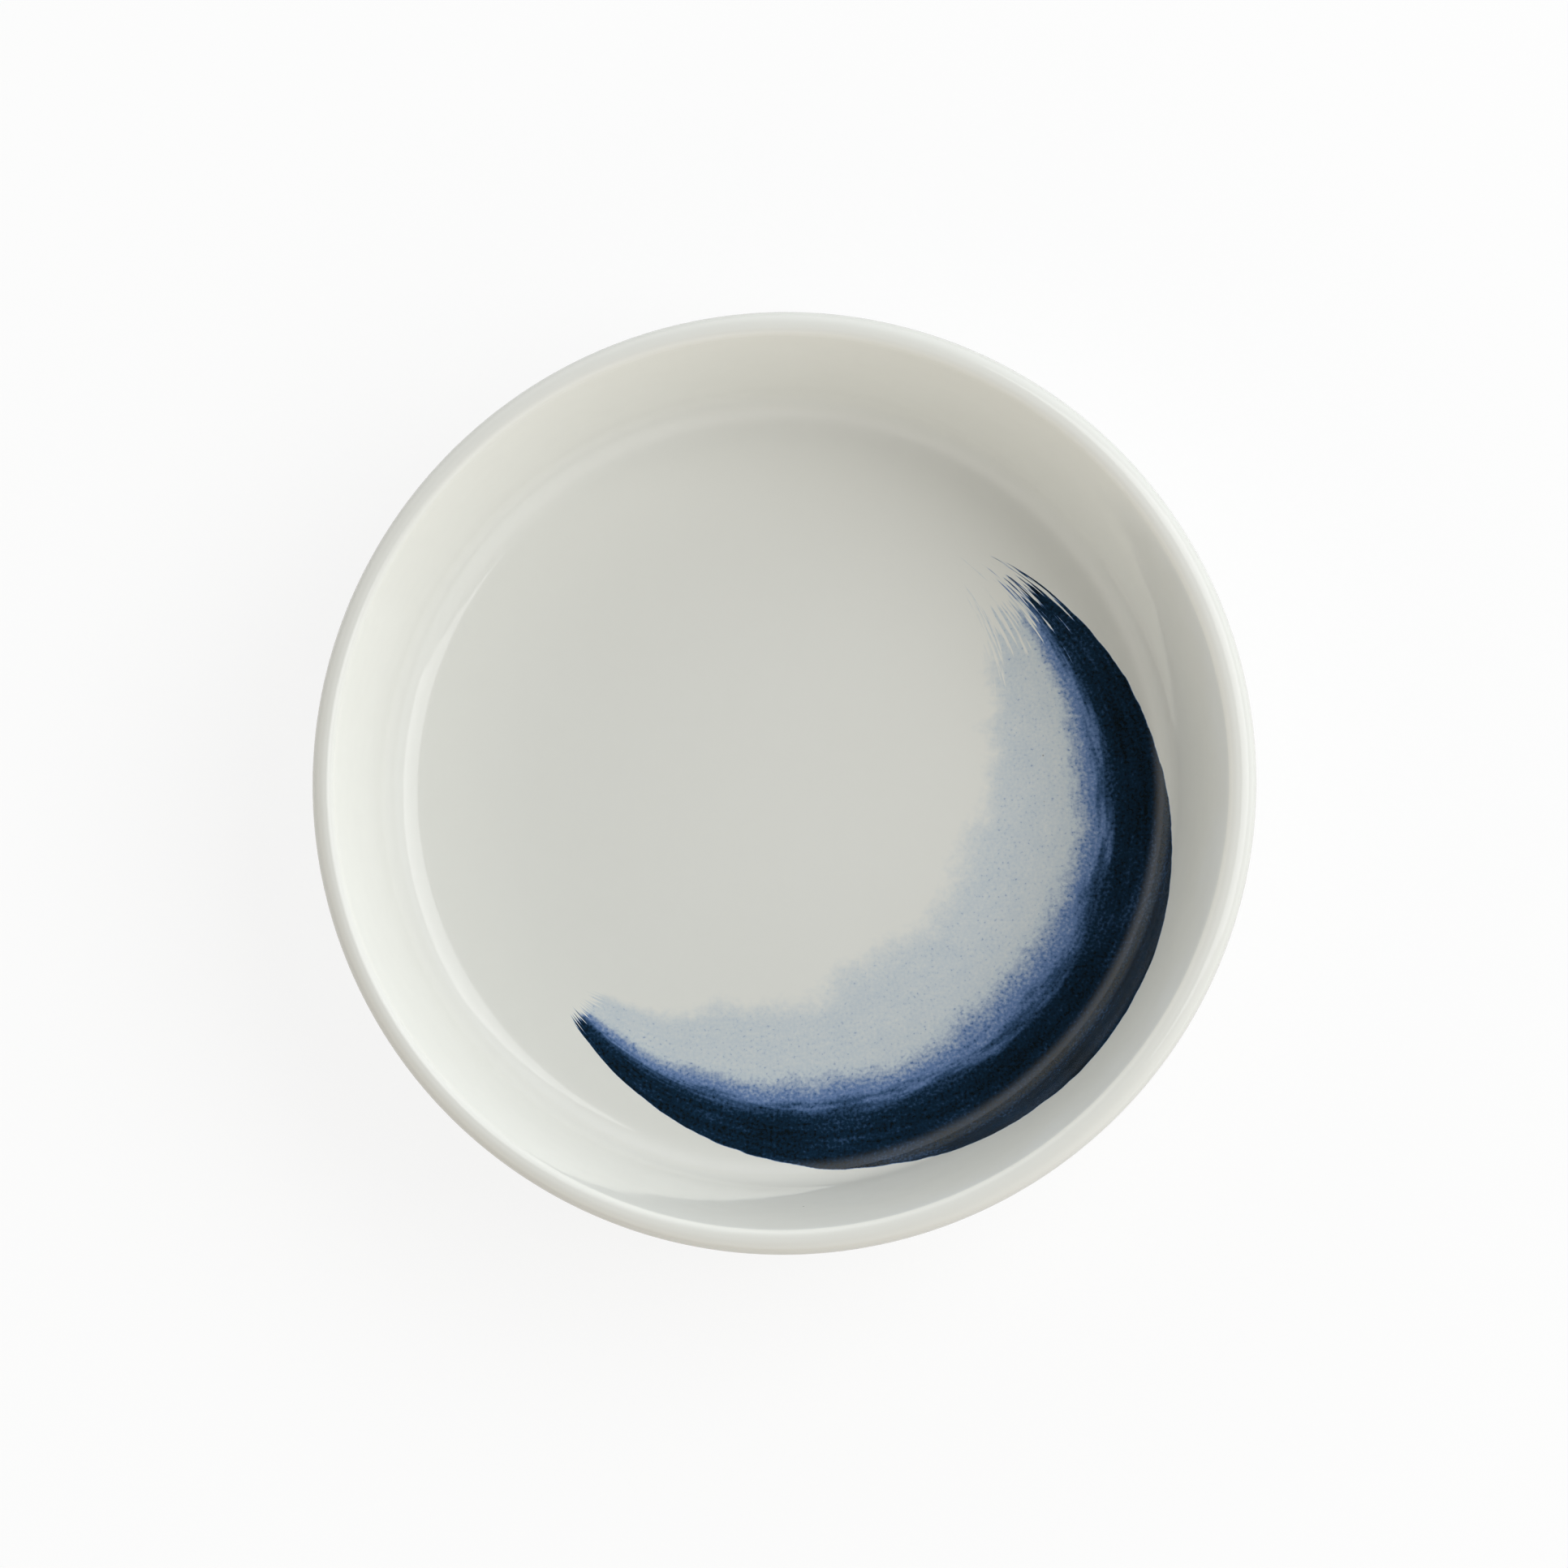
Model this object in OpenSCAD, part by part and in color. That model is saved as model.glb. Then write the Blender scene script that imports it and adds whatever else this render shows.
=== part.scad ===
// Soy sauce dish: a small round porcelain dish with a steep flared wall, a full round lip
// and a low foot ring. The layers that are fired together are separate solids: the porcelain
// body, the glaze over it, the glaze inside the foot ring, and the brushed blues that have
// sunk into the glaze of the well.
// Millimetres, +Z up along the axis of the dish. The origin is the centre of the circle that
// the foot ring rests on.

/* [Dish] */
// Outside diameter across the lip
rim_d = 100; // [90:1:120]
// Overall height, from the table to the top of the lip
height = 25; // [20:0.5:32]
// Thickness of the floor inside the foot ring, glaze included
floor_t = 3.8; // [3:0.1:5]

/* [Wall and lip] */
// Lean of the inside wall from the vertical, in degrees
inside_flare = 16.5; // [8:0.5:22]
// Lean of the outside wall from the vertical, in degrees
outside_flare = 14; // [6:0.5:18]
// Radius of the outer edge of the lip
lip_out_r = 1.5; // [1:0.05:2]
// Radius of the inner edge of the lip
lip_in_r = 1; // [0.8:0.05:1.8]
// Width of the flat crest left between the lip's rounded edges
lip_land = 0.2; // [0.1:0.05:0.8]
// Radius of the cove where the inside wall runs into the floor
cove_r = 4.8; // [2:0.1:7]
// Radius of the heel where the outside wall runs into the underside
heel_r = 8; // [4:0.5:10]

/* [Foot ring] */
// Height of the underside above the table, outside the foot ring
foot_h = 2.5; // [2:0.1:3.5]
// Depth of the recess inside the foot ring
recess_h = 1.8; // [1.4:0.1:3]
// Width of the foot ring at the table
foot_w = 3.2; // [2.4:0.1:5]
// Flat left on the underside between the heel and the foot ring
foot_setback = 1.5; // [0.5:0.1:5]
// Lean of the foot ring's two sides from the vertical, in degrees
foot_draft = 10; // [2:1:20]
// Radius of the foot ring's edges at the table
foot_edge_r = 0.7; // [0.55:0.05:1]
// Radius where the foot ring runs into the underside
foot_root_r = 1; // [0.5:0.1:1.5]

/* [Glaze] */
// Thickness of the glaze
glaze_t = 0.4; // [0.2:0.05:0.5]
// Height of the band wiped bare of glaze round the foot ring
bare_h = 0.9; // [0.6:0.1:1.2]

/* [Brushed colours] */
// Share of the glaze's thickness that the colours sink into
colour_depth_share = 0.5; // [0.3:0.05:0.8]
// Radius of the outer edge of the brushed crescent
stroke_r = 35; // [28:0.5:36]
// Distance, seen from above, that the crescent climbs past the corner of floor and wall
stroke_climb = 2; // [-4:0.2:3]
// Direction in which the crescent is widest, in degrees anticlockwise from +X
stroke_turn = 320; // [0:2:360]
// Angle between each tip of the crescent and the middle of its gap, in degrees
tip_angle = 62; // [45:1:75]
// Length cut off the crescent at its tips, which leaves blunt ends
tip_cut = 6; // [3:0.5:8]
// Greatest width of the dark ink, at the outer edge
ink_w = 10; // [8:0.5:16]
// Greatest width of the blue that bleeds out of the ink
bleed_w = 3.5; // [2:0.5:5]
// Greatest width of the pale wash inside the blue
wash_w = 12; // [6:0.5:14]

/* [Hidden] */
$fn = 180;
// Straight steps in the arc of a fillet
arc_steps = 12;
// How far a cutting shape runs past what it cuts
overrun = 1;

porcelain_white = "#e9e7df";
glaze_white = "#e4e5df";
ink_indigo = "#0b2036";
bleed_blue = "#4c6796";
wash_blue = "#b3bfc6";

floor_z = recess_h + floor_t;
floor_middle_z = recess_h + floor_t / 2;
colour_t = glaze_t * colour_depth_share;
ink_edge = ink_w;
bleed_edge = ink_edge + bleed_w;
wash_edge = bleed_edge + wash_w;

// Length that a fillet of radius r takes from each side of a corner that turns by turn degrees
function reach(r, turn) = r * tan(turn / 2);

// Sharp corners of the glazed section, as radius and height, before their fillets
crest_out_r = rim_d / 2 - lip_out_r;
crest_in_r = crest_out_r - lip_land;
lip_out = [crest_out_r + reach(lip_out_r, 90 + outside_flare), height];
lip_in = [crest_in_r - reach(lip_in_r, 90 - inside_flare), height];
well = [lip_in.x - (height - floor_z) * tan(inside_flare), floor_z];
heel = [lip_out.x - (height - foot_h) * tan(outside_flare), foot_h];
heel_end_r = heel.x - reach(heel_r, 90 - outside_flare);
foot_root_out = [heel_end_r - foot_setback - reach(foot_root_r, 90 - foot_draft), foot_h];
foot_out = [foot_root_out.x - foot_h * tan(foot_draft), 0];
foot_in = [foot_out.x - foot_w, 0];
foot_root_in = [foot_in.x - recess_h * tan(foot_draft), recess_h];

// Outline of the glazed section, anticlockwise from the axis. Each corner is
// [radius, height, fillet].
glazed = [
    [0, recess_h, 0],
    [foot_root_in.x, foot_root_in.y, foot_root_r],
    [foot_in.x, foot_in.y, foot_edge_r],
    [foot_out.x, foot_out.y, foot_edge_r],
    [foot_root_out.x, foot_root_out.y, foot_root_r],
    [heel.x, heel.y, heel_r],
    [lip_out.x, lip_out.y, lip_out_r],
    [lip_in.x, lip_in.y, lip_in_r],
    [well.x, well.y, cove_r],
    [0, floor_z, 0]
];

// Outline of the open well, up to the sharp edge of the lip, in the same form
well_space = [
    [0, floor_z, 0],
    [well.x, well.y, cove_r],
    [lip_in.x, lip_in.y, 0],
    [0, height, 0]
];

// Outlines with filleted corners

function at(c, i) = c[(i + len(c)) % len(c)];
function place(c, i) = [at(c, i).x, at(c, i).y];
// Direction of the side that leaves corner i
function along(c, i) = (place(c, i + 1) - place(c, i)) / norm(place(c, i + 1) - place(c, i));
function left_of(u) = [-u.y, u.x];
function turned(u, angle) = u * cos(angle) + left_of(u) * sin(angle);
// Angle that the outline turns by at corner i, positive where the corner stands out
function bend(c, i) =
    let (u = along(c, i - 1), v = along(c, i)) atan2(cross(u, v), u * v);
// Radius of the fillet at corner i, positive where the corner stands out
function fillet(c, i) = at(c, i).z * sign(bend(c, i));

// Points of the outline, with an arc for each fillet
function rounded(c) = [
    for (i = [0 : len(c) - 1])
        let (
            r = fillet(c, i),
            u = along(c, i - 1),
            centre = place(c, i) - u * reach(r, bend(c, i)) + left_of(u) * r
        )
        each r == 0
            ? [place(c, i)]
            : [
                for (k = [0 : arc_steps])
                    centre - left_of(turned(u, bend(c, i) * k / arc_steps)) * r
            ]
];

// Distance that the side after corner i moves when the outline moves in by t. The side on the
// axis stays.
function side_step(c, i, t) = at(c, i).x == 0 && at(c, i + 1).x == 0 ? 0 : t;

// The same outline a distance t further in, parallel to c all round, or further out where t
// is negative
function inset(c, t) = [
    for (i = [0 : len(c) - 1])
        let (
            a = left_of(along(c, i - 1)),
            b = left_of(along(c, i)),
            step_a = side_step(c, i - 1, t),
            step_b = side_step(c, i, t),
            corner = place(c, i)
                + [step_a * b.y - step_b * a.y, step_b * a.x - step_a * b.x] / cross(a, b),
            r = fillet(c, i)
        )
        [corner.x, corner.y, r == 0 ? 0 : abs(r - t)]
];

// Sections, drawn as radius and height

// The band round the foot ring that carries no glaze
module bare_band() {
    translate([0, -overrun])
        square([heel.x, bare_h + overrun]);
}

// Everything under the dish and inside the middle of the foot ring
module under_zone() {
    square([foot_in.x + foot_w / 2, floor_middle_z]);
}

module body_section() {
    polygon(rounded(inset(glazed, glaze_t)));
    intersection() {
        polygon(rounded(glazed));
        bare_band();
    }
}

module glaze_section() {
    difference() {
        polygon(rounded(glazed));
        polygon(rounded(inset(glazed, glaze_t)));
        bare_band();
    }
}

// The open well and the colours' depth all round it
module pocket_section() {
    polygon(rounded(inset(well_space, -colour_t)));
}

// The skin of the glaze that the colours fill
module colour_section() {
    intersection() {
        pocket_section();
        polygon(rounded(glazed));
    }
}

// The brushed crescent, widest towards +X. Every edge is a circle through the same two tips.

// Distance from the crescent's centre, away from its widest place, to the centre of the circle
// that lies w in from the outer edge at the widest place
function edge_shift(w) =
    w * (2 * stroke_r - w) / (2 * (stroke_r * (1 + cos(tip_angle)) - w));

module edge_disc(w) {
    translate([-edge_shift(w), 0])
        circle(r = stroke_r - w + edge_shift(w));
}

// The part of the crescent from w_outer to w_inner, measured in from its outer edge
module tone(w_outer, w_inner) {
    tips_x = -stroke_r * cos(tip_angle);
    difference() {
        edge_disc(w_outer);
        edge_disc(w_inner);
        translate([-stroke_r - overrun, -stroke_r - overrun])
            square([stroke_r + overrun + tips_x + tip_cut, 2 * (stroke_r + overrun)]);
    }
}

// What the child section sweeps round the dish, inside one tone of the crescent
module brushed(w_outer, w_inner) {
    intersection() {
        rotate_extrude()
            children();
        rotate([0, 0, stroke_turn])
            translate([well.x + stroke_climb - stroke_r, 0])
                linear_extrude(height + overrun)
                    tone(w_outer, w_inner);
    }
}

// Pieces

module porcelain_body() {
    color(porcelain_white)
        rotate_extrude()
            body_section();
}

module glaze_coat() {
    color(glaze_white)
        difference() {
            rotate_extrude()
                difference() {
                    glaze_section();
                    under_zone();
                }
            brushed(0, wash_edge)
                pocket_section();
        }
}

module base_glaze() {
    color(glaze_white)
        rotate_extrude()
            intersection() {
                glaze_section();
                under_zone();
            }
}

module ink_stroke() {
    color(ink_indigo)
        brushed(0, ink_edge)
            colour_section();
}

module blue_bleed() {
    color(bleed_blue)
        brushed(ink_edge, bleed_edge)
            colour_section();
}

module pale_wash() {
    color(wash_blue)
        brushed(bleed_edge, wash_edge)
            colour_section();
}

porcelain_body();
glaze_coat();
base_glaze();
ink_stroke();
blue_bleed();
pale_wash();
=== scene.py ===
"""Soy sauce dish of glazed porcelain with a brushed indigo crescent in its well, in soft light."""

import math

import bpy
import numpy as np
from mathutils import Matrix, Quaternion, Vector


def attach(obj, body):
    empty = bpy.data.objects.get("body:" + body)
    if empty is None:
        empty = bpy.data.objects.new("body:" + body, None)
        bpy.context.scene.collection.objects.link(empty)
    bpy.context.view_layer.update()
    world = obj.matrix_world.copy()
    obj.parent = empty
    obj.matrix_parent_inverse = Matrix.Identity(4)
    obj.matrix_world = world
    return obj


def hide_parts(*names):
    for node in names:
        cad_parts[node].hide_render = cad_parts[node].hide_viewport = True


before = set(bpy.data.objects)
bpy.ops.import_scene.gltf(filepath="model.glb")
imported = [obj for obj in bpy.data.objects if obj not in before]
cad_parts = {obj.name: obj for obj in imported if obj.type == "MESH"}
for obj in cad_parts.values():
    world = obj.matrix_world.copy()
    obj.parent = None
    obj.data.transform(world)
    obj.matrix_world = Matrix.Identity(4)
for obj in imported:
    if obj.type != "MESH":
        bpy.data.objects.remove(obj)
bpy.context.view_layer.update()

MM = 0.001

# Sizes of the dish, in metres, as in the part's source
RIM_RADIUS = 50 * MM
HEIGHT = 25 * MM
FLOOR_THICKNESS = 3.8 * MM
INSIDE_FLARE = math.radians(16.5)
OUTSIDE_FLARE = math.radians(14)
LIP_OUT_FILLET = 1.5 * MM
LIP_IN_FILLET = 1 * MM
LIP_LAND = 0.2 * MM
COVE_FILLET = 4.8 * MM
HEEL_FILLET = 8 * MM
FOOT_HEIGHT = 2.5 * MM
RECESS_HEIGHT = 1.8 * MM
FOOT_WIDTH = 3.2 * MM
FOOT_SETBACK = 1.5 * MM
FOOT_DRAFT = math.radians(10)
FOOT_EDGE_FILLET = 0.7 * MM
FOOT_ROOT_FILLET = 1 * MM
GLAZE_THICKNESS = 0.4 * MM
BARE_HEIGHT = 0.9 * MM
FLOOR_HEIGHT = RECESS_HEIGHT + FLOOR_THICKNESS

# The brushed crescent, as in the part's source. Where a tone ends is measured in from its outer edge.
STROKE_RADIUS = 35 * MM
STROKE_CLIMB = 2 * MM
STROKE_TURN = math.radians(320)
TIP_ANGLE = math.radians(62)
TIP_CUT = 6 * MM
INK_WIDTH = 10 * MM
BLEED_WIDTH = 3.5 * MM
WASH_WIDTH = 12 * MM
BLEED_END = INK_WIDTH + BLEED_WIDTH
WASH_END = BLEED_END + WASH_WIDTH

# What the hand and the kiln leave uneven. A wave is its count round the dish and where it starts.
GLAZE_BEAD = 0.15 * MM
INSIDE_SHIFT = -0.35 * MM
OVAL_SHARE = 0.0045
OVAL_TURN = math.radians(45)
LIP_SAG = 0.1 * MM
LIP_SAG_COUNT = 3
WIPE_WAVER = 0.18 * MM
WIPE_REACH = 0.5 * MM
WIPE_WAVES = ((5, 0), (11, 1), (17, 2))

# Fineness of the meshes, and the radius under which a point counts as lying on the axis
COLUMNS = 360
ARC_STEP = math.radians(6)
RUN_POINTS = 9
ON_AXIS = 0.001 * MM

# Layout of the baked maps, as shares of their width
MARGIN_SHARE = 0.01
STRIP_SHARE = 0.1
DISC_SHARE = 0.495


# Sections, as rows of radius and height

def fillet_reach(radius, turn):
    """Length a fillet takes from each side of a corner: its radius times the tangent of half the turn."""
    return radius * math.tan(turn / 2)


def glazed_corners():
    """Corners of the glazed section as rows of radius, height and fillet.

    They run anticlockwise from the axis under the dish, over the foot ring, the heel and the lip,
    to the axis in the well.
    """
    quarter = math.pi / 2
    crest_out = RIM_RADIUS - LIP_OUT_FILLET
    lip_out = crest_out + fillet_reach(LIP_OUT_FILLET, quarter + OUTSIDE_FLARE)
    lip_in = crest_out - LIP_LAND - fillet_reach(LIP_IN_FILLET, quarter - INSIDE_FLARE)
    well = lip_in - (HEIGHT - FLOOR_HEIGHT) * math.tan(INSIDE_FLARE)
    heel = lip_out - (HEIGHT - FOOT_HEIGHT) * math.tan(OUTSIDE_FLARE)
    heel_end = heel - fillet_reach(HEEL_FILLET, quarter - OUTSIDE_FLARE)
    root_out = heel_end - FOOT_SETBACK - fillet_reach(FOOT_ROOT_FILLET, quarter - FOOT_DRAFT)
    foot_out = root_out - FOOT_HEIGHT * math.tan(FOOT_DRAFT)
    foot_in = foot_out - FOOT_WIDTH
    root_in = foot_in - RECESS_HEIGHT * math.tan(FOOT_DRAFT)
    return np.array([
        (0, RECESS_HEIGHT, 0),
        (root_in, RECESS_HEIGHT, FOOT_ROOT_FILLET),
        (foot_in, 0, FOOT_EDGE_FILLET),
        (foot_out, 0, FOOT_EDGE_FILLET),
        (root_out, FOOT_HEIGHT, FOOT_ROOT_FILLET),
        (heel, FOOT_HEIGHT, HEEL_FILLET),
        (lip_out, HEIGHT, LIP_OUT_FILLET),
        (lip_in, HEIGHT, LIP_IN_FILLET),
        (well, FLOOR_HEIGHT, COVE_FILLET),
        (0, FLOOR_HEIGHT, 0),
    ])


def side_directions(corners):
    """Unit directions of the sides before and after each corner of a closed outline."""
    after = np.roll(corners[:, :2], -1, axis=0) - corners[:, :2]
    after /= np.linalg.norm(after, axis=1, keepdims=True)
    return np.roll(after, 1, axis=0), after


def left_of(directions):
    """The directions turned a quarter turn anticlockwise."""
    return np.stack([-directions[..., 1], directions[..., 0]], axis=-1)


def cross(a, b):
    """The cross product of plane vectors, a number each."""
    return a[..., 0] * b[..., 1] - a[..., 1] * b[..., 0]


def inset(corners, depth):
    """The outline moved in by depth, parallel to itself, with the side on the axis left in place.

    Each corner goes to where its two moved sides cross. A fillet that stands out loses depth, and
    a hollow one gains it.
    """
    before, after = side_directions(corners)
    on_axis = (corners[:, 0] == 0) & (np.roll(corners[:, 0], -1) == 0)
    step_after = np.where(on_axis, 0, depth)
    step_before = np.roll(step_after, 1)
    a, b = left_of(before), left_of(after)
    crossing = np.stack([step_before * b[:, 1] - step_after * a[:, 1],
                         step_after * a[:, 0] - step_before * b[:, 0]], axis=1)
    places = corners[:, :2] + crossing / cross(a, b)[:, None]
    stands_out = np.sign(cross(before, after))
    fillets = np.where(corners[:, 2] == 0, 0, corners[:, 2] - stands_out * depth)
    return np.column_stack([places, fillets])


def rounded(corners):
    """Points of a closed outline: an arc at each fillet, and straight runs between them.

    An arc's points lie at even angles about its centre. A run's points lie at shares of
    (1 - cosine) / 2, close together at its ends, so that shading stays true there. The run along
    the axis has none.
    """
    before, after = side_directions(corners)
    turns = np.arctan2(cross(before, after), np.sum(before * after, axis=1))
    arcs = []
    for (r, z, fillet), u, turn in zip(corners, before, turns):
        steps = math.ceil(abs(turn) / ARC_STEP) if fillet else 0
        angles = turn * np.linspace(0, 1, steps + 1)[:, None]
        signed = fillet * np.sign(turn)
        centre = np.array((r, z)) - u * fillet_reach(signed, turn) + left_of(u) * signed
        heading = u * np.cos(angles) + left_of(u) * np.sin(angles)
        arcs.append(centre - left_of(heading) * signed)
    run_shares = (1 - np.cos(np.linspace(0, np.pi, RUN_POINTS)[1:-1, None])) / 2
    points = []
    for arc, following in zip(arcs, arcs[1:] + arcs[:1]):
        points.append(arc)
        if max(arc[-1, 0], following[0, 0]) > ON_AXIS:
            points.append(arc[-1] + (following[0] - arc[-1]) * run_shares)
    return np.concatenate(points)


GLAZED = glazed_corners()
BODY = inset(GLAZED, GLAZE_THICKNESS)
_, ROOT_IN, FOOT_IN, FOOT_OUT, ROOT_OUT, _, LIP_OUT, LIP_IN, WELL, _ = range(len(GLAZED))
WELL_RADIUS = GLAZED[WELL, 0]


def wiped_edge(corners, foot, root):
    """The sharp corner where the foot ring's side between two corners passes the wiped line."""
    start, end = corners[foot], corners[root]
    share = (BARE_HEIGHT - start[1]) / (end[1] - start[1])
    return np.array([start[0] + share * (end[0] - start[0]), BARE_HEIGHT, 0])


def beaded(corner):
    """The corner with the small round edge that melted glaze leaves."""
    return np.array([corner[0], corner[1], GLAZE_BEAD])


def coat_section():
    """The glaze from the wiped line up the outside, over the lip and into the well, and back."""
    outer = [beaded(wiped_edge(GLAZED, FOOT_OUT, ROOT_OUT)), *GLAZED[ROOT_OUT:]]
    inner = [wiped_edge(BODY, FOOT_OUT, ROOT_OUT), *BODY[ROOT_OUT:]]
    return rounded(np.array(outer + inner[::-1]))


def recess_section():
    """The glaze inside the foot ring, from the axis to the wiped line, and back."""
    outer = [*GLAZED[:FOOT_IN], beaded(wiped_edge(GLAZED, FOOT_IN, ROOT_IN))]
    inner = [*BODY[:FOOT_IN], wiped_edge(BODY, FOOT_IN, ROOT_IN)]
    return rounded(np.array(outer + inner[::-1]))


def body_section():
    """The porcelain under the glaze, with the full width of the foot ring below the wiped line."""
    inside = [*BODY[:FOOT_IN], wiped_edge(BODY, FOOT_IN, ROOT_IN), wiped_edge(GLAZED, FOOT_IN, ROOT_IN)]
    foot = [GLAZED[FOOT_IN], GLAZED[FOOT_OUT]]
    outside = [wiped_edge(GLAZED, FOOT_OUT, ROOT_OUT), wiped_edge(BODY, FOOT_OUT, ROOT_OUT)]
    return rounded(np.array([*inside, *foot, *outside, *BODY[ROOT_OUT:]]))


# Turned pieces

def smooth_step(shares):
    """Shares from 0 to 1 made to start and end level: 3 s s - 2 s s s, held at 0 and 1 outside."""
    held = np.clip(shares, 0, 1)
    return held * held * (3 - 2 * held)


def inwardness(r, z):
    """Where a place lies in the wall, from 0 on the outside to 1 in the well.

    It goes by the distance across the wall, and fades out through the floor, from its top down.
    """
    outside = GLAZED[LIP_OUT, 0] - (HEIGHT - z) * math.tan(OUTSIDE_FLARE)
    inside = GLAZED[LIP_IN, 0] - (HEIGHT - z) * math.tan(INSIDE_FLARE)
    across = smooth_step((outside - r) / (outside - inside))
    return across * smooth_step((z - FOOT_HEIGHT) / (FLOOR_HEIGHT - FOOT_HEIGHT))


def hand_made(r, z, turn):
    """Places of section points turned about the axis, with the small faults of a hand made dish.

    The inside lies a little off centre. The radius shrinks by a share twice round, most at the lip.
    The lip sags a few times round. The wiped line wavers, and what is near it goes with it by a bell
    curve of the height.
    """
    shift = INSIDE_SHIFT * inwardness(r, z)
    rise = z / HEIGHT
    oval_r = r * (1 - OVAL_SHARE * rise * (1 - np.cos(2 * (turn - OVAL_TURN))) / 2)
    sag = LIP_SAG * rise ** 2 * (1 + np.cos(LIP_SAG_COUNT * turn)) / 2
    waver = sum(np.sin(count * turn + start) for count, start in WIPE_WAVES) / len(WIPE_WAVES)
    near_line = np.exp(-((z - BARE_HEIGHT) / WIPE_REACH) ** 2) * np.minimum(z / BARE_HEIGHT, 1)
    uneven_z = z - sag + WIPE_WAVER * waver * near_line
    return np.stack([oval_r * np.cos(turn) + shift, oval_r * np.sin(turn), uneven_z], axis=-1)


def lathe(name, section):
    """A closed section turned about the axis.

    Row i of the grid is point i of the section, and column j is the turn of j steps. A row on the
    axis is one point, and the faces beside it are triangles. Returns the object, the row and the
    turn of each point, and the rows and the columns of the faces' corners.
    """
    rows = len(section)
    on_axis = section[:, 0] < ON_AXIS
    width = np.where(on_axis, 1, COLUMNS)
    first = np.concatenate([[0], np.cumsum(width)[:-1]])
    row = np.repeat(np.arange(rows), width)
    turn = 2 * np.pi * (np.arange(len(row)) - first[row]) / COLUMNS
    places = hand_made(section[row, 0], section[row, 1], turn)

    i = np.repeat(np.arange(rows), COLUMNS)
    j = np.tile(np.arange(COLUMNS), rows)
    k = (i + 1) % rows
    corner_rows = np.stack([i, i, k, k], axis=1)
    corner_columns = np.stack([j, j + 1, j + 1, j], axis=1)
    faces = first[corner_rows] + np.where(on_axis[corner_rows], 0, corner_columns % COLUMNS)
    quads = ~on_axis[i] & ~on_axis[k]
    ends = on_axis[i] & ~on_axis[k]
    starts = ~on_axis[i] & on_axis[k]
    picks = ((quads, [0, 1, 2, 3]), (ends, [0, 2, 3]), (starts, [0, 1, 2]))
    mesh = bpy.data.meshes.new(name)
    mesh.from_pydata(places.tolist(), [], [f for m, p in picks for f in faces[m][:, p].tolist()])
    mesh.shade_smooth()
    piece = bpy.data.objects.new(name, mesh)
    bpy.context.collection.objects.link(piece)
    rows_of_corners, columns_of_corners = (
        np.concatenate([grid[m][:, p].ravel() for m, p in picks])
        for grid in (corner_rows, corner_columns))
    return piece, row, turn, rows_of_corners, columns_of_corners


def along_section(section):
    """Length along a section from its first point to each point."""
    return np.concatenate([[0], np.cumsum(np.linalg.norm(np.diff(section, axis=0), axis=1))])


def add_uv(piece, u, v):
    """Gives a piece the map that its finish is baked in."""
    layer = piece.data.uv_layers.new(name="OFBake")
    layer.data.foreach_set("uv", np.stack([u, v], axis=1).ravel().astype(np.float32))


def unroll(piece, section, rows, columns):
    """Unrolls a turned piece for its baking: u goes round it, and v runs along its section."""
    length = along_section(section)
    wide = 1 - 2 * MARGIN_SHARE
    add_uv(piece, MARGIN_SHARE + wide * columns / COLUMNS,
           MARGIN_SHARE + wide * length[rows] / length[-1])


def spread_flat(piece, section, row, turn, rows, columns):
    """Spreads the coat into a disc about the middle of the well, for its brushwork and its baking.

    A point's distance from the disc's centre is its length along the section from the middle of
    the well. The hidden inner face of the coat goes into a small strip in a corner of the map.
    Returns the length from the middle of the well to the crest of the lip.
    """
    middle = int(np.argmax(section[:, 0] < ON_AXIS))
    length = along_section(section)
    reach = np.abs(length[middle] - length)
    spread = np.stack([reach[row] * np.cos(turn), reach[row] * np.sin(turn), 0 * turn], axis=1)
    layer = piece.data.attributes.new("spread", "FLOAT_VECTOR", "POINT")
    layer.data.foreach_set("vector", spread.ravel().astype(np.float32))

    angle = 2 * np.pi * columns / COLUMNS
    disc = DISC_SHARE * reach[rows] / reach[0]
    strip_u = MARGIN_SHARE + STRIP_SHARE * columns / COLUMNS
    strip_v = MARGIN_SHARE + STRIP_SHARE * (rows - middle) / (len(section) - middle)
    hidden = rows > middle
    add_uv(piece, np.where(hidden, strip_u, 1 / 2 + disc * np.cos(angle)),
           np.where(hidden, strip_v, 1 / 2 + disc * np.sin(angle)))
    return reach[np.argmax(section[:, 1])]


# Parts of the finishes

# Places of the colours among the sockets of a Mix node
MIX_A, MIX_B, MIX_RESULT = 6, 7, 2


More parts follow.
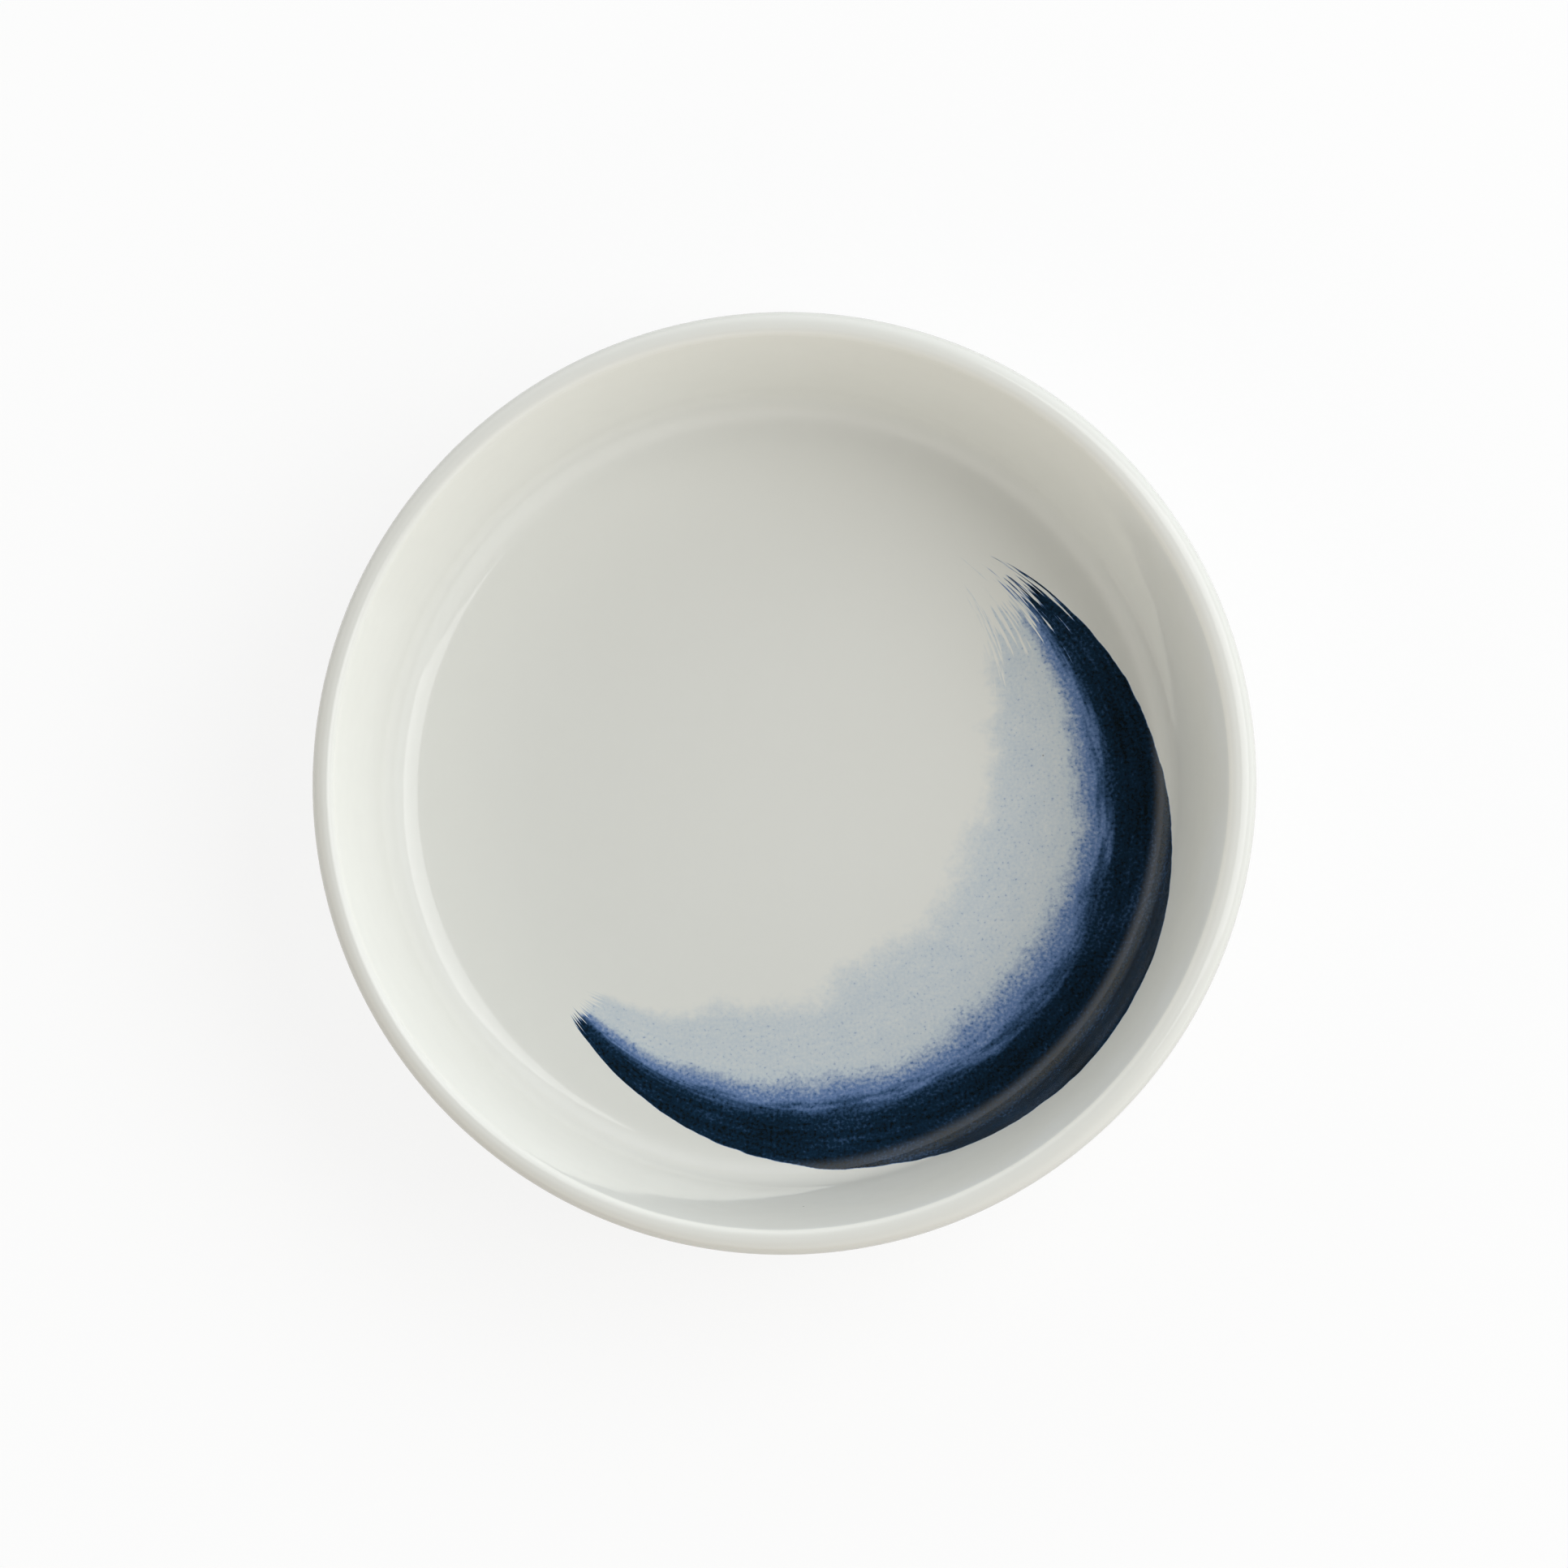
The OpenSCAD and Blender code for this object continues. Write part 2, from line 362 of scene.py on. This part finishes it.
class Field:
    """A number that varies over a surface or with direction. Arithmetic on it adds Math nodes."""

    def __init__(self, tree, source):
        self.tree = tree
        self.source = source

    def math(self, operation, *others):
        """The result of a Math node on this field and others."""
        node = self.tree.nodes.new("ShaderNodeMath")
        node.operation = operation
        for socket, value in zip(node.inputs, (self, *others)):
            plug(self.tree, value, socket)
        return Field(self.tree, node.outputs["Value"])

    def __add__(self, other):
        return self.math("ADD", other)

    def __sub__(self, other):
        return self.math("SUBTRACT", other)

    def __mul__(self, other):
        return self.math("MULTIPLY", other)

    def __truediv__(self, other):
        return self.math("DIVIDE", other)

    def __neg__(self):
        return self.math("MULTIPLY", -1)

    def __rsub__(self, other):
        return -self + other

    __radd__ = __add__
    __rmul__ = __mul__

    def sqrt(self):
        """The square root."""
        return self.math("SQRT")

    def at_least(self, other):
        """The field, held up to another where it lies lower."""
        return self.math("MAXIMUM", other)

    def at_most(self, other):
        """The field, held down to another where it lies higher."""
        return self.math("MINIMUM", other)

    def below(self, other):
        """1 where the field is less than another, and 0 elsewhere."""
        return self.math("LESS_THAN", other)

    def rising(self, start, end):
        """0 up to start, 1 from end on, and a smooth step between."""
        node = self.tree.nodes.new("ShaderNodeMapRange")
        node.interpolation_type = "SMOOTHSTEP"
        plug(self.tree, self, node.inputs["Value"])
        plug(self.tree, start, node.inputs["From Min"])
        plug(self.tree, end, node.inputs["From Max"])
        return Field(self.tree, node.outputs["Result"])

    def falling(self, start, end):
        """1 up to start, 0 from end on, and a smooth step between."""
        return 1 - self.rising(start, end)


def plug(tree, value, socket):
    """Feeds a field, another node's socket or a plain value to a socket."""
    if isinstance(value, Field):
        tree.links.new(value.source, socket)
    elif isinstance(value, bpy.types.NodeSocket):
        tree.links.new(value, socket)
    else:
        socket.default_value = value


def coordinate(tree, name):
    """A surface's own coordinates: the object's, or the attribute of that name."""
    if name == "Object":
        return tree.nodes.new("ShaderNodeTexCoord").outputs["Object"]
    node = tree.nodes.new("ShaderNodeAttribute")
    node.attribute_name = name
    return node.outputs["Vector"]


def parts_of(tree, vector):
    """The three fields of a vector."""
    node = tree.nodes.new("ShaderNodeSeparateXYZ")
    plug(tree, vector, node.inputs[0])
    return [Field(tree, socket) for socket in node.outputs]


def joined(tree, x, y, z):
    """A vector of three fields or plain values."""
    node = tree.nodes.new("ShaderNodeCombineXYZ")
    for value, socket in zip((x, y, z), node.inputs):
        plug(tree, value, socket)
    return node.outputs[0]


def noise(tree, vector, lump, detail):
    """Smooth noise about 0, from -1/2 to 1/2, with lumps of about that size and finer detail."""
    node = tree.nodes.new("ShaderNodeTexNoise")
    plug(tree, vector, node.inputs["Vector"])
    plug(tree, 1 / lump, node.inputs["Scale"])
    plug(tree, detail, node.inputs["Detail"])
    return Field(tree, node.outputs["Fac"]) - 1 / 2


def moved(start, noises, amounts):
    """A field or a number, moved by each noise that amounts names, by that amount of it."""
    return sum((noises[name] * amount for name, amount in amounts.items()), start)


def toned(tree, field, tones):
    """A colour ramp over a field. Each tone is its place on the ramp and its linear colour."""
    node = tree.nodes.new("ShaderNodeValToRGB")
    plug(tree, field, node.inputs["Fac"])
    stops = node.color_ramp.elements
    while len(stops) < len(tones):
        stops.new(1)
    for stop, (place, colour) in zip(stops, tones):
        stop.position = place
        stop.color = (*colour, 1)
    return node.outputs["Color"]


def mixed(tree, a, b, amount, way="MIX"):
    """Colour b laid over colour a by an amount from 0 to 1, plainly or in another way."""
    node = tree.nodes.new("ShaderNodeMix")
    node.data_type = "RGBA"
    node.blend_type = way
    plug(tree, amount, node.inputs["Factor"])
    plug(tree, a, node.inputs[MIX_A])
    plug(tree, b, node.inputs[MIX_B])
    return node.outputs[MIX_RESULT]


def new_finish(name, ior):
    """A new material, its node tree and its shader."""
    material = bpy.data.materials.new(name)
    material.use_nodes = True
    shader = material.node_tree.nodes["Principled BSDF"]
    plug(material.node_tree, ior, shader.inputs["IOR"])
    return material, material.node_tree, shader


def add_bump(tree, shader, relief, depth):
    """Raises the shading by a field that runs over about 1, by that depth in metres."""
    node = tree.nodes.new("ShaderNodeBump")
    plug(tree, depth, node.inputs["Distance"])
    plug(tree, relief, node.inputs["Height"])
    plug(tree, node.outputs["Normal"], shader.inputs["Normal"])


# Brushwork. Each kind of unevenness is noise with lumps of its size.
BRUSH_NOISE = {"cloud": 11 * MM, "lump": 2.6 * MM, "fuzz": 0.7 * MM, "grain": 0.36 * MM}
BRUSH_DETAIL = 3
BRISTLE = 0.9 * MM
STREAK_PITCH = 9 * MM
FLECK_SHARES = (0.1, 0.25)

# How far each kind of unevenness moves the stroke's outer edge, its ends and its tones
EDGE_WANDER = {"lump": 0.7 * MM, "cloud": 1.2 * MM}
ENDS_WANDER = {"bristle": 7 * MM}
INK_WANDER = {"bristle": 6 * MM, "cloud": 4 * MM}
BLEED_WANDER = {"fuzz": 3.2 * MM, "lump": 3 * MM, "cloud": 5 * MM}
WASH_WANDER = {"fuzz": 3 * MM, "lump": 4 * MM, "cloud": 9 * MM}

# How each of them fades, and how the last part of the stroke runs dry
EDGE_FADE = (-0.05 * MM, 0.25 * MM)
ENDS_FADE = 1.2 * MM
INK_FADE_SHARES = (0.62, 1.05)
BLEED_RUN = 1 * MM
WASH_FADE = 5 * MM
DRY_PROGRESS_SHARES = (0.45, 1.0)
DRY_SHARE = 0.75
SKIP_SHARES = (-0.06, 0.04)
TIPS_CLEARANCE = 0.1 * MM

# Pigment that each tone adds, and how much each kind of unevenness changes it
INK_SHARE = 0.44
INK_UNEVEN_SHARES = {"bristle": 0.3, "grain": 0.22, "cloud": 0.4}
BLEED_SHARE = 0.24
BLEED_UNEVEN_SHARES = {"grain": 0.14}
WASH_SHARE = 0.18
WASH_UNEVEN_SHARES = {"grain": 0.2, "bristle": 0.08, "lump": 0.1, "fleck": 0.1}

# What the porcelain's colour is multiplied by, from no pigment to the thickest ink
INK_TONES = (
    (0.00, (1.000, 1.000, 1.000)),
    (0.22, (0.700, 0.780, 0.890)),
    (0.42, (0.180, 0.290, 0.580)),
    (0.60, (0.055, 0.118, 0.265)),
    (0.80, (0.007, 0.029, 0.068)),
    (1.00, (0.004, 0.009, 0.013)),
)


def brush_place(tree):
    """Where each place lies in the stroke: depth, progress, and distance past the tips.

    Seen from above, every bristle follows a circle through the crescent's two tips. For a point at
    (x, y) from the crescent's centre, with x towards its widest place, that circle's centre lies at
    c = (x x + y y - r r) / (2 (x - t)) on the x axis, where r is the outer edge's radius and t the
    tips' place. The depth is how far in from the outer edge that circle passes at the widest place.
    Progress goes from -1 to 1 with the angle about the crescent's centre, from tip to tip.
    """
    x_all, y_all, _ = parts_of(tree, coordinate(tree, "Object"))
    centre = WELL_RADIUS + STROKE_CLIMB - STROKE_RADIUS
    towards, across = math.cos(STROKE_TURN), math.sin(STROKE_TURN)
    x = x_all * towards + y_all * across - centre
    y = y_all * towards - x_all * across
    tip_x = -STROKE_RADIUS * math.cos(TIP_ANGLE)
    tip_y = STROKE_RADIUS * math.sin(TIP_ANGLE)
    past_tips = x - tip_x
    c = (x * x + y * y - STROKE_RADIUS ** 2) / (2 * past_tips.at_least(TIPS_CLEARANCE))
    depth = STROKE_RADIUS - c - ((c - tip_x) * (c - tip_x) + tip_y ** 2).sqrt()
    progress = y.math("ARCTAN2", x) / (math.pi - TIP_ANGLE)
    return depth, progress, past_tips


def brush_marks(tree, crest_reach):
    """How much pigment lies at each place, from 0 to 1, inside the crest of the lip.

    The ink is thick along the crescent's outer edge, bleeds blue and ends in a grained wash. Noise
    moves each of these edges. For the outer edge, the depth is divided by the share of a length that
    shows from above: 1 - h / r at the height h in a cove of radius r, and the flare's sine on the
    wall. The bristles streak the ink, and leave gaps as the stroke runs dry.
    """
    depth, progress, past_tips = brush_place(tree)
    height = parts_of(tree, coordinate(tree, "Object"))[2]
    shown_share = (1 - (height - FLOOR_HEIGHT) / COVE_FILLET).at_least(math.sin(INSIDE_FLARE))
    spread = coordinate(tree, "spread")
    noises = {name: noise(tree, spread, size, BRUSH_DETAIL) for name, size in BRUSH_NOISE.items()}
    streaks = joined(tree, depth, progress * STREAK_PITCH, 0)
    noises["bristle"] = noise(tree, streaks, BRISTLE, BRUSH_DETAIL)
    noises["fleck"] = noises["grain"].rising(*FLECK_SHARES)

    edge = moved(depth / shown_share, noises, EDGE_WANDER).rising(*EDGE_FADE)
    ink = moved(depth, noises, INK_WANDER).falling(*(INK_WIDTH * share for share in INK_FADE_SHARES))
    bleed = moved(depth, noises, BLEED_WANDER).falling(INK_WIDTH, BLEED_END + BLEED_RUN)
    wash = moved(depth, noises, WASH_WANDER).falling(WASH_END - WASH_FADE, WASH_END)
    pigment = (wash * moved(WASH_SHARE, noises, WASH_UNEVEN_SHARES)
               + bleed * moved(BLEED_SHARE, noises, BLEED_UNEVEN_SHARES)
               + ink * moved(INK_SHARE, noises, INK_UNEVEN_SHARES))

    dryness = DRY_SHARE * progress.rising(*DRY_PROGRESS_SHARES)
    skips = (noises["bristle"] + 1 / 2 - dryness).rising(*SKIP_SHARES)
    ends = moved(past_tips - TIP_CUT, noises, ENDS_WANDER).rising(0, ENDS_FADE)
    spread_x, spread_y, _ = parts_of(tree, spread)
    inside = (spread_x * spread_x + spread_y * spread_y).sqrt().below(crest_reach)
    return pigment * edge * ends * skips * inside


# Glaze on white porcelain
GLAZE_IOR = 1.5
PORCELAIN_TONES = ((0.0, (0.878, 0.877, 0.826)), (1.0, (0.892, 0.892, 0.846)))
DRIFT = 16 * MM
GLAZE_DETAIL = 2
PINHOLE_SPACING = 7 * MM
PINHOLE_RADIUS = 0.17 * MM
PINHOLE_SHARE = 0.3
PINHOLE_LEAST_SHARE = 0.4
PINHOLE_TONES = ((0.0, (1, 1, 1)), (1.0, (0.42, 0.42, 0.40)))
GLOSS_ROUGHNESS = 0.075
GLOSS_SWING = 0.05
GLOSS_PATCH = 5 * MM
RIPPLE = 3.5 * MM
RIPPLE_DEPTH = 0.03 * MM
RIPPLE_DETAIL = 1


def pinholes(tree, place):
    """1 on small round pinholes: one to a cell of their spacing, in a share of the cells."""
    node = tree.nodes.new("ShaderNodeTexVoronoi")
    plug(tree, place, node.inputs["Vector"])
    plug(tree, 1 / PINHOLE_SPACING, node.inputs["Scale"])
    split = tree.nodes.new("ShaderNodeSeparateColor")
    plug(tree, node.outputs["Color"], split.inputs[0])
    chance, girth = (Field(tree, split.outputs[name]) for name in ("Red", "Green"))
    distance = Field(tree, node.outputs["Distance"]) * PINHOLE_SPACING
    radius = PINHOLE_RADIUS * (PINHOLE_LEAST_SHARE + (1 - PINHOLE_LEAST_SHARE) * girth)
    return (radius - distance).rising(0, PINHOLE_RADIUS / 2) * chance.below(PINHOLE_SHARE)


def glaze_finish(name, crest_reach=None):
    """Glossy clear glaze on warm white porcelain, brushed inside the crest where its reach is given.

    The white drifts a little. Fine grey pinholes sit in it. The gloss ripples like the skin of an
    orange, too slightly to show but in the highlights.
    """
    material, tree, shader = new_finish(name, GLAZE_IOR)
    place = coordinate(tree, "Object")
    white = toned(tree, noise(tree, place, DRIFT, GLAZE_DETAIL) + 1 / 2, PORCELAIN_TONES)
    pitted = toned(tree, pinholes(tree, place), PINHOLE_TONES)
    colour = mixed(tree, white, pitted, 1, "MULTIPLY")
    if crest_reach:
        brushed = toned(tree, brush_marks(tree, crest_reach), INK_TONES)
        colour = mixed(tree, colour, brushed, 1, "MULTIPLY")
    plug(tree, colour, shader.inputs["Base Color"])
    gloss = GLOSS_ROUGHNESS + GLOSS_SWING * noise(tree, place, GLOSS_PATCH, GLAZE_DETAIL)
    plug(tree, gloss, shader.inputs["Roughness"])
    add_bump(tree, shader, noise(tree, place, RIPPLE, RIPPLE_DETAIL), RIPPLE_DEPTH)
    return material


# Bare porcelain
BARE_IOR = 1.45
BARE_ROUGHNESS = 0.8
BARE_TONES = ((0.0, (0.50, 0.47, 0.42)), (1.0, (0.76, 0.73, 0.66)))
BARE_TONE_SHARE = 0.62
BARE_UNEVEN_SHARES = {"blotch": 0.5, "grain": 0.35, "scuff": -0.25}
BLOTCH = 4 * MM
BLOTCH_DETAIL = 3
BARE_GRAIN = 0.25 * MM
BARE_GRAIN_DETAIL = 2
SCUFF_HEIGHT = 0.3 * MM
SCUFF_WAVER = 0.25 * MM
BARE_RELIEF = 0.04 * MM


def bare_finish():
    """Unglazed porcelain: matt, warmer than the glaze, finely grained and a little scuffed below."""
    material, tree, shader = new_finish("bare porcelain", BARE_IOR)
    place = coordinate(tree, "Object")
    height = parts_of(tree, place)[2]
    blotch = noise(tree, place, BLOTCH, BLOTCH_DETAIL)
    grain = noise(tree, place, BARE_GRAIN, BARE_GRAIN_DETAIL)
    scuff = (height + SCUFF_WAVER * blotch).falling(0, SCUFF_HEIGHT)
    kinds = {"blotch": blotch, "grain": grain, "scuff": scuff}
    tone = moved(BARE_TONE_SHARE, kinds, BARE_UNEVEN_SHARES).at_least(0).at_most(1)
    colour = toned(tree, tone, BARE_TONES)
    plug(tree, colour, shader.inputs["Base Color"])
    plug(tree, BARE_ROUGHNESS, shader.inputs["Roughness"])
    add_bump(tree, shader, grain + blotch, BARE_RELIEF)
    return material


# The three fired layers

def make_coat():
    """The painted glaze over the inside, the lip and the outside, down to the wiped line."""
    section = coat_section()
    coat, row, turn, rows, columns = lathe("glaze_coat_painted", section)
    crest_reach = spread_flat(coat, section, row, turn, rows, columns)
    coat.data.materials.append(glaze_finish("brushed glaze", crest_reach))
    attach(coat, "root")
    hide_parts("glaze_coat", "ink_stroke", "blue_bleed", "pale_wash")


def make_recess_glaze():
    """The patch of glaze inside the foot ring."""
    section = recess_section()
    base, _, _, rows, columns = lathe("foot_recess_glaze", section)
    unroll(base, section, rows, columns)
    base.data.materials.append(glaze_finish("clear glaze"))
    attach(base, "root")
    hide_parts("base_glaze")


def make_body():
    """The porcelain, which shows where the foot ring is wiped bare."""
    section = body_section()
    body, _, _, rows, columns = lathe("porcelain_core", section)
    unroll(body, section, rows, columns)
    body.data.materials.append(bare_finish())
    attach(body, "root")
    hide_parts("porcelain_body")


# Floor, with its size in metres
FLOOR_SIZE = 6
FLOOR_BOUNCE = (0.2, 0.2, 0.19, 1)
FLOOR_SHOWN = (0.2, 0.2, 0.2, 1)
FLOOR_GLOW = 0.82

# Tent of soft light: warm on one side and cool on the other, brighter on one side, and brighter low
# down on the right. It has a dark opening overhead, and is dim and warm low in front. Turns go round
# from +X. On a sphere of radius 1, low edges are heights, and front edges the way forwards less height.
TENT_WARM = (1.15, 1.11, 1.03, 1)
TENT_COOL = (1.06, 1.11, 1.14, 1)
TENT_OPENING = (0.03, 0.03, 0.03, 1)
TENT_LOW_FRONT = (0.56, 0.45, 0.32, 1)
COOL_TURN = math.radians(50)
BRIGHT_TURN = math.radians(145)
BRIGHT_SHARE = 0.2
LOW_TURN = math.radians(350)
LOW_SHARE = 0.4
LOW_SWING_SHARE = 0.5
LOW_EDGE_SHARES = (0.1, 0.3)
FRONT_EDGE_SHARES = (0.55, 0.8)
OPENING_TURN = math.radians(160)
OPENING_RISE = math.radians(80)
OPENING_ANGLES = (math.radians(62), math.radians(30))

# Lamp, with its distance and size in metres and its power in watts
KEY_TURN = math.radians(20)
KEY_RISE = math.radians(54)
KEY_ROLL = math.radians(-20)
KEY_DISTANCE = 1.2
KEY_SIZE = (1.0, 0.85)
KEY_POWER = 5.85
KEY_COLOUR = (0.99, 1.0, 1.01)

# Camera, in metres, with its sensor in millimetres. A lean is the way aside for each metre up.
CAMERA_DISTANCE = 1.0
CAMERA_LEAN_FRONT = 0.0515
CAMERA_LEAN_LEFT = 0.012
FRAME_WIDTH = 165.7 * MM
AIM_LEFT = 0.09 * MM
AIM_FRONT = 0.19 * MM
SENSOR = 36.0


def floor_finish():
    """A pale surface that glows nearly white where it is seen or mirrored, and keeps a soft shadow.

    To all other light it is a plain grey, so that it throws little back at the dish.
    """
    material = bpy.data.materials.new("pale floor")
    material.use_nodes = True
    tree = material.node_tree
    tree.nodes.remove(tree.nodes["Principled BSDF"])
    bounce = tree.nodes.new("ShaderNodeBsdfDiffuse")
    plug(tree, FLOOR_BOUNCE, bounce.inputs["Color"])
    shown = tree.nodes.new("ShaderNodeBsdfDiffuse")
    plug(tree, FLOOR_SHOWN, shown.inputs["Color"])
    glow = tree.nodes.new("ShaderNodeEmission")
    plug(tree, FLOOR_GLOW, glow.inputs["Strength"])
    both = tree.nodes.new("ShaderNodeAddShader")
    plug(tree, shown.outputs[0], both.inputs[0])
    plug(tree, glow.outputs[0], both.inputs[1])
    rays = tree.nodes.new("ShaderNodeLightPath").outputs
    seen = Field(tree, rays["Is Camera Ray"])
    for kind in ("Is Glossy Ray", "Is Transmission Ray"):
        seen = seen.at_least(Field(tree, rays[kind]))
    either = tree.nodes.new("ShaderNodeMixShader")
    for value, socket in zip((seen, bounce.outputs[0], both.outputs[0]), either.inputs):
        plug(tree, value, socket)
    plug(tree, either.outputs[0], tree.nodes["Material Output"].inputs["Surface"])
    return material


def make_floor():
    """A square of floor under the dish."""
    half = FLOOR_SIZE / 2
    mesh = bpy.data.meshes.new("floor")
    mesh.from_pydata([(-half, -half, 0), (half, -half, 0), (half, half, 0), (-half, half, 0)],
                     [], [(0, 1, 2, 3)])
    mesh.materials.append(floor_finish())
    floor = bpy.data.objects.new("floor", mesh)
    bpy.context.collection.objects.link(floor)


def pointing(turn, rise):
    """Unit vector at an angle round from +X and an angle up from the table."""
    return Vector((math.cos(rise) * math.cos(turn), math.cos(rise) * math.sin(turn), math.sin(rise)))


def make_tent():
    """The soft light from all round, as a colour and a strength for each direction."""
    world = bpy.data.worlds.new("tent")
    bpy.context.scene.world = world
    world.use_nodes = True
    tree = world.node_tree
    x, y, z = parts_of(tree, tree.nodes.new("ShaderNodeTexCoord").outputs["Generated"])

    def towards(turn, rise=0):
        goal = pointing(turn, rise)
        return x * goal.x + y * goal.y + z * goal.z

    coolness = (1 + towards(COOL_TURN)) / 2
    opening = towards(OPENING_TURN, OPENING_RISE).rising(*map(math.cos, OPENING_ANGLES))
    low_front = (-y - z).rising(*FRONT_EDGE_SHARES)
    colour = mixed(tree, TENT_WARM, TENT_COOL, coolness)
    colour = mixed(tree, colour, TENT_OPENING, opening)
    colour = mixed(tree, colour, TENT_LOW_FRONT, low_front)
    low_glow = (LOW_SHARE + LOW_SWING_SHARE * towards(LOW_TURN)) * z.falling(*LOW_EDGE_SHARES)
    strength = (1 + BRIGHT_SHARE * towards(BRIGHT_TURN)) * (1 + low_glow)
    background = tree.nodes["Background"]
    plug(tree, colour, background.inputs["Color"])
    plug(tree, strength, background.inputs["Strength"])


def make_lamp():
    """One large soft lamp, high on the right."""
    lamp = bpy.data.lights.new("key", "AREA")
    lamp.shape = "RECTANGLE"
    lamp.size, lamp.size_y = KEY_SIZE
    lamp.energy = KEY_POWER
    lamp.color = KEY_COLOUR
    key = bpy.data.objects.new("key", lamp)
    bpy.context.collection.objects.link(key)
    towards = pointing(KEY_TURN, KEY_RISE)
    key.location = towards * KEY_DISTANCE
    roll = Quaternion((0, 0, 1), KEY_ROLL)
    key.rotation_euler = (towards.to_track_quat("Z", "Y") @ roll).to_euler()


def make_camera():
    """A long lens nearly straight above, leaning a little to the front and less to the left.

    It aims close to the middle of the lip, at the height where the lip is widest.
    """
    lens = bpy.data.cameras.new("camera")
    camera = bpy.data.objects.new("camera", lens)
    bpy.context.collection.objects.link(camera)
    lens.sensor_width = SENSOR
    lens.lens = SENSOR * CAMERA_DISTANCE / FRAME_WIDTH
    back = Vector((-CAMERA_LEAN_LEFT, -CAMERA_LEAN_FRONT, 1)).normalized()
    right = Vector((0, 1, 0)).cross(back).normalized()
    up = back.cross(right)
    target = Vector((-AIM_LEFT, -AIM_FRONT, HEIGHT - LIP_OUT_FILLET))
    turned = Matrix((right, up, back)).transposed().to_4x4()
    camera.matrix_world = Matrix.Translation(target + back * CAMERA_DISTANCE) @ turned
    bpy.context.scene.camera = camera


make_coat()
make_recess_glaze()
make_body()
make_floor()
make_tent()
make_lamp()
make_camera()
bpy.context.scene.view_settings.view_transform = "Standard"
